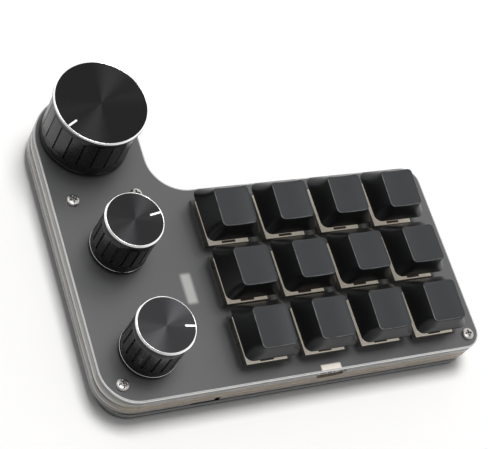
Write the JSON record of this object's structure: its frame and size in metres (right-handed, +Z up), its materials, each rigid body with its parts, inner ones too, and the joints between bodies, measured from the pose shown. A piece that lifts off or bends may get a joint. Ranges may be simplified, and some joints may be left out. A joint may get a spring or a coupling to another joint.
{
  "type": "macro keypad with knobs",
  "caption": "Macro keypad: a rounded L-shaped case of stacked plates with rows of black keys on switches that press and grooved metal knobs that turn and press.",
  "frame": {"origin": "under the middle of the case's bounding box, on the surface that the rubber feet stand on", "axes": "+X along the rows of keys, away from the knobs; +Y from the side with the USB-C socket to the side with the big knob; +Z up, out of the keys"},
  "size_m": [0.1232, 0.0986, 0.0325],
  "materials": {
    "smoked_acrylic": "translucent smoky acrylic, satin face with a polished bright edge",
    "grey_acrylic": "milky grey acrylic, laser-cut edge",
    "dark_acrylic": "dark grey acrylic, laser-cut edge",
    "black_rubber": "moulded, matte",
    "bright_steel": "nickel-plated",
    "brass": "turned, nickel-free",
    "board": "glass-fibre board with a black solder mask",
    "chip_black": "moulded epoxy",
    "white_plastic": "moulded nylon",
    "smoky_plastic": "moulded, slightly see-through",
    "ivory_plastic": "moulded, milky",
    "stem_brown": "moulded acetal",
    "spring_steel": "drawn wire",
    "contact_gold": "gold-flashed copper alloy",
    "encoder_steel": "plated and turned",
    "keycap_black": "moulded ABS with a fine satin texture",
    "knob_black": "black anodised aluminium with turned bands and cut grooves",
    "knob_spun_black": "black anodised spun face with a bright diamond-cut chamfer"
  },
  "bodies": {
    "root": {"top_plate": "smoked_acrylic", "upper_frame": "grey_acrylic", "lower_frame": "dark_acrylic", "bottom_plate": "dark_acrylic", "rubber_feet": "black_rubber", "case_screws": "bright_steel", "bottom_screws": "bright_steel", "spacers": "brass", "circuit_board": "board", "controller_chip": "chip_black", "board_connector": "white_plastic", "usb_shell": "bright_steel", "usb_tongue": "chip_black", "switch_bases": "smoky_plastic", "switch_covers": "ivory_plastic", "switch_springs": "spring_steel", "switch_pins": "contact_gold", "hot_swap_sockets": "chip_black", "encoder_housings": "encoder_steel", "encoder_bushes": "encoder_steel", "encoder_washers": "bright_steel", "encoder_nuts": "bright_steel"},
    "key_back_1": {"keycap_back_1": "keycap_black", "key_stem_back_1": "stem_brown"},
    "key_back_2": {"keycap_back_2": "keycap_black", "key_stem_back_2": "stem_brown"},
    "key_back_3": {"keycap_back_3": "keycap_black", "key_stem_back_3": "stem_brown"},
    "key_back_4": {"keycap_back_4": "keycap_black", "key_stem_back_4": "stem_brown"},
    "key_middle_1": {"keycap_middle_1": "keycap_black", "key_stem_middle_1": "stem_brown"},
    "key_middle_2": {"keycap_middle_2": "keycap_black", "key_stem_middle_2": "stem_brown"},
    "key_middle_3": {"keycap_middle_3": "keycap_black", "key_stem_middle_3": "stem_brown"},
    "key_middle_4": {"keycap_middle_4": "keycap_black", "key_stem_middle_4": "stem_brown"},
    "key_front_1": {"keycap_front_1": "keycap_black", "key_stem_front_1": "stem_brown"},
    "key_front_2": {"keycap_front_2": "keycap_black", "key_stem_front_2": "stem_brown"},
    "key_front_3": {"keycap_front_3": "keycap_black", "key_stem_front_3": "stem_brown"},
    "key_front_4": {"keycap_front_4": "keycap_black", "key_stem_front_4": "stem_brown"},
    "big_knob_push": {"big_knob_plunger": "contact_gold"},
    "big_knob": {"big_knob_body": "knob_black", "big_knob_cap": "knob_spun_black", "big_knob_shaft": "encoder_steel"},
    "middle_knob_push": {"middle_knob_plunger": "contact_gold"},
    "middle_knob": {"middle_knob_body": "knob_black", "middle_knob_cap": "knob_spun_black", "middle_knob_shaft": "encoder_steel"},
    "front_knob_push": {"front_knob_plunger": "contact_gold"},
    "front_knob": {"front_knob_body": "knob_black", "front_knob_cap": "knob_spun_black", "front_knob_shaft": "encoder_steel"}
  },
  "joints": [
    {"name": "key_back_1_press", "type": "slide", "parent": "root", "child": "key_back_1", "axis": [0, 0, -1], "range_m": [0, 0.004], "stiffness_N_per_m": 80, "springref_m": -0.0035, "deforming": ["switch_springs"]},
    {"name": "key_back_2_press", "type": "slide", "parent": "root", "child": "key_back_2", "axis": [0, 0, -1], "range_m": [0, 0.004], "stiffness_N_per_m": 80, "springref_m": -0.0035, "deforming": ["switch_springs"]},
    {"name": "key_back_3_press", "type": "slide", "parent": "root", "child": "key_back_3", "axis": [0, 0, -1], "range_m": [0, 0.004], "stiffness_N_per_m": 80, "springref_m": -0.0035, "deforming": ["switch_springs"]},
    {"name": "key_back_4_press", "type": "slide", "parent": "root", "child": "key_back_4", "axis": [0, 0, -1], "range_m": [0, 0.004], "stiffness_N_per_m": 80, "springref_m": -0.0035, "deforming": ["switch_springs"]},
    {"name": "key_middle_1_press", "type": "slide", "parent": "root", "child": "key_middle_1", "axis": [0, 0, -1], "range_m": [0, 0.004], "stiffness_N_per_m": 80, "springref_m": -0.0035, "deforming": ["switch_springs"]},
    {"name": "key_middle_2_press", "type": "slide", "parent": "root", "child": "key_middle_2", "axis": [0, 0, -1], "range_m": [0, 0.004], "stiffness_N_per_m": 80, "springref_m": -0.0035, "deforming": ["switch_springs"]},
    {"name": "key_middle_3_press", "type": "slide", "parent": "root", "child": "key_middle_3", "axis": [0, 0, -1], "range_m": [0, 0.004], "stiffness_N_per_m": 80, "springref_m": -0.0035, "deforming": ["switch_springs"]},
    {"name": "key_middle_4_press", "type": "slide", "parent": "root", "child": "key_middle_4", "axis": [0, 0, -1], "range_m": [0, 0.004], "stiffness_N_per_m": 80, "springref_m": -0.0035, "deforming": ["switch_springs"]},
    {"name": "key_front_1_press", "type": "slide", "parent": "root", "child": "key_front_1", "axis": [0, 0, -1], "range_m": [0, 0.004], "stiffness_N_per_m": 80, "springref_m": -0.0035, "deforming": ["switch_springs"]},
    {"name": "key_front_2_press", "type": "slide", "parent": "root", "child": "key_front_2", "axis": [0, 0, -1], "range_m": [0, 0.004], "stiffness_N_per_m": 80, "springref_m": -0.0035, "deforming": ["switch_springs"]},
    {"name": "key_front_3_press", "type": "slide", "parent": "root", "child": "key_front_3", "axis": [0, 0, -1], "range_m": [0, 0.004], "stiffness_N_per_m": 80, "springref_m": -0.0035, "deforming": ["switch_springs"]},
    {"name": "key_front_4_press", "type": "slide", "parent": "root", "child": "key_front_4", "axis": [0, 0, -1], "range_m": [0, 0.004], "stiffness_N_per_m": 80, "springref_m": -0.0035, "deforming": ["switch_springs"]},
    {"name": "big_knob_press", "type": "slide", "parent": "root", "child": "big_knob_push", "axis": [0, 0, -1], "range_m": [0, 0.0005], "stiffness_N_per_m": 600, "springref_m": -0.003},
    {"name": "big_knob_turn", "type": "hinge", "parent": "big_knob_push", "child": "big_knob", "pos_m": [-0.04615, 0.03467, 0.0134], "axis": [0, 0, 1], "continuous": true},
    {"name": "middle_knob_press", "type": "slide", "parent": "root", "child": "middle_knob_push", "axis": [0, 0, -1], "range_m": [0, 0.0005], "stiffness_N_per_m": 600, "springref_m": -0.003},
    {"name": "middle_knob_turn", "type": "hinge", "parent": "middle_knob_push", "child": "middle_knob", "pos_m": [-0.04566, -0.00232, 0.0134], "axis": [0, 0, 1], "continuous": true},
    {"name": "front_knob_press", "type": "slide", "parent": "root", "child": "front_knob_push", "axis": [0, 0, -1], "range_m": [0, 0.0005], "stiffness_N_per_m": 600, "springref_m": -0.003},
    {"name": "front_knob_turn", "type": "hinge", "parent": "front_knob_push", "child": "front_knob", "pos_m": [-0.04566, -0.03469, 0.0134], "axis": [0, 0, 1], "continuous": true}
  ]
}
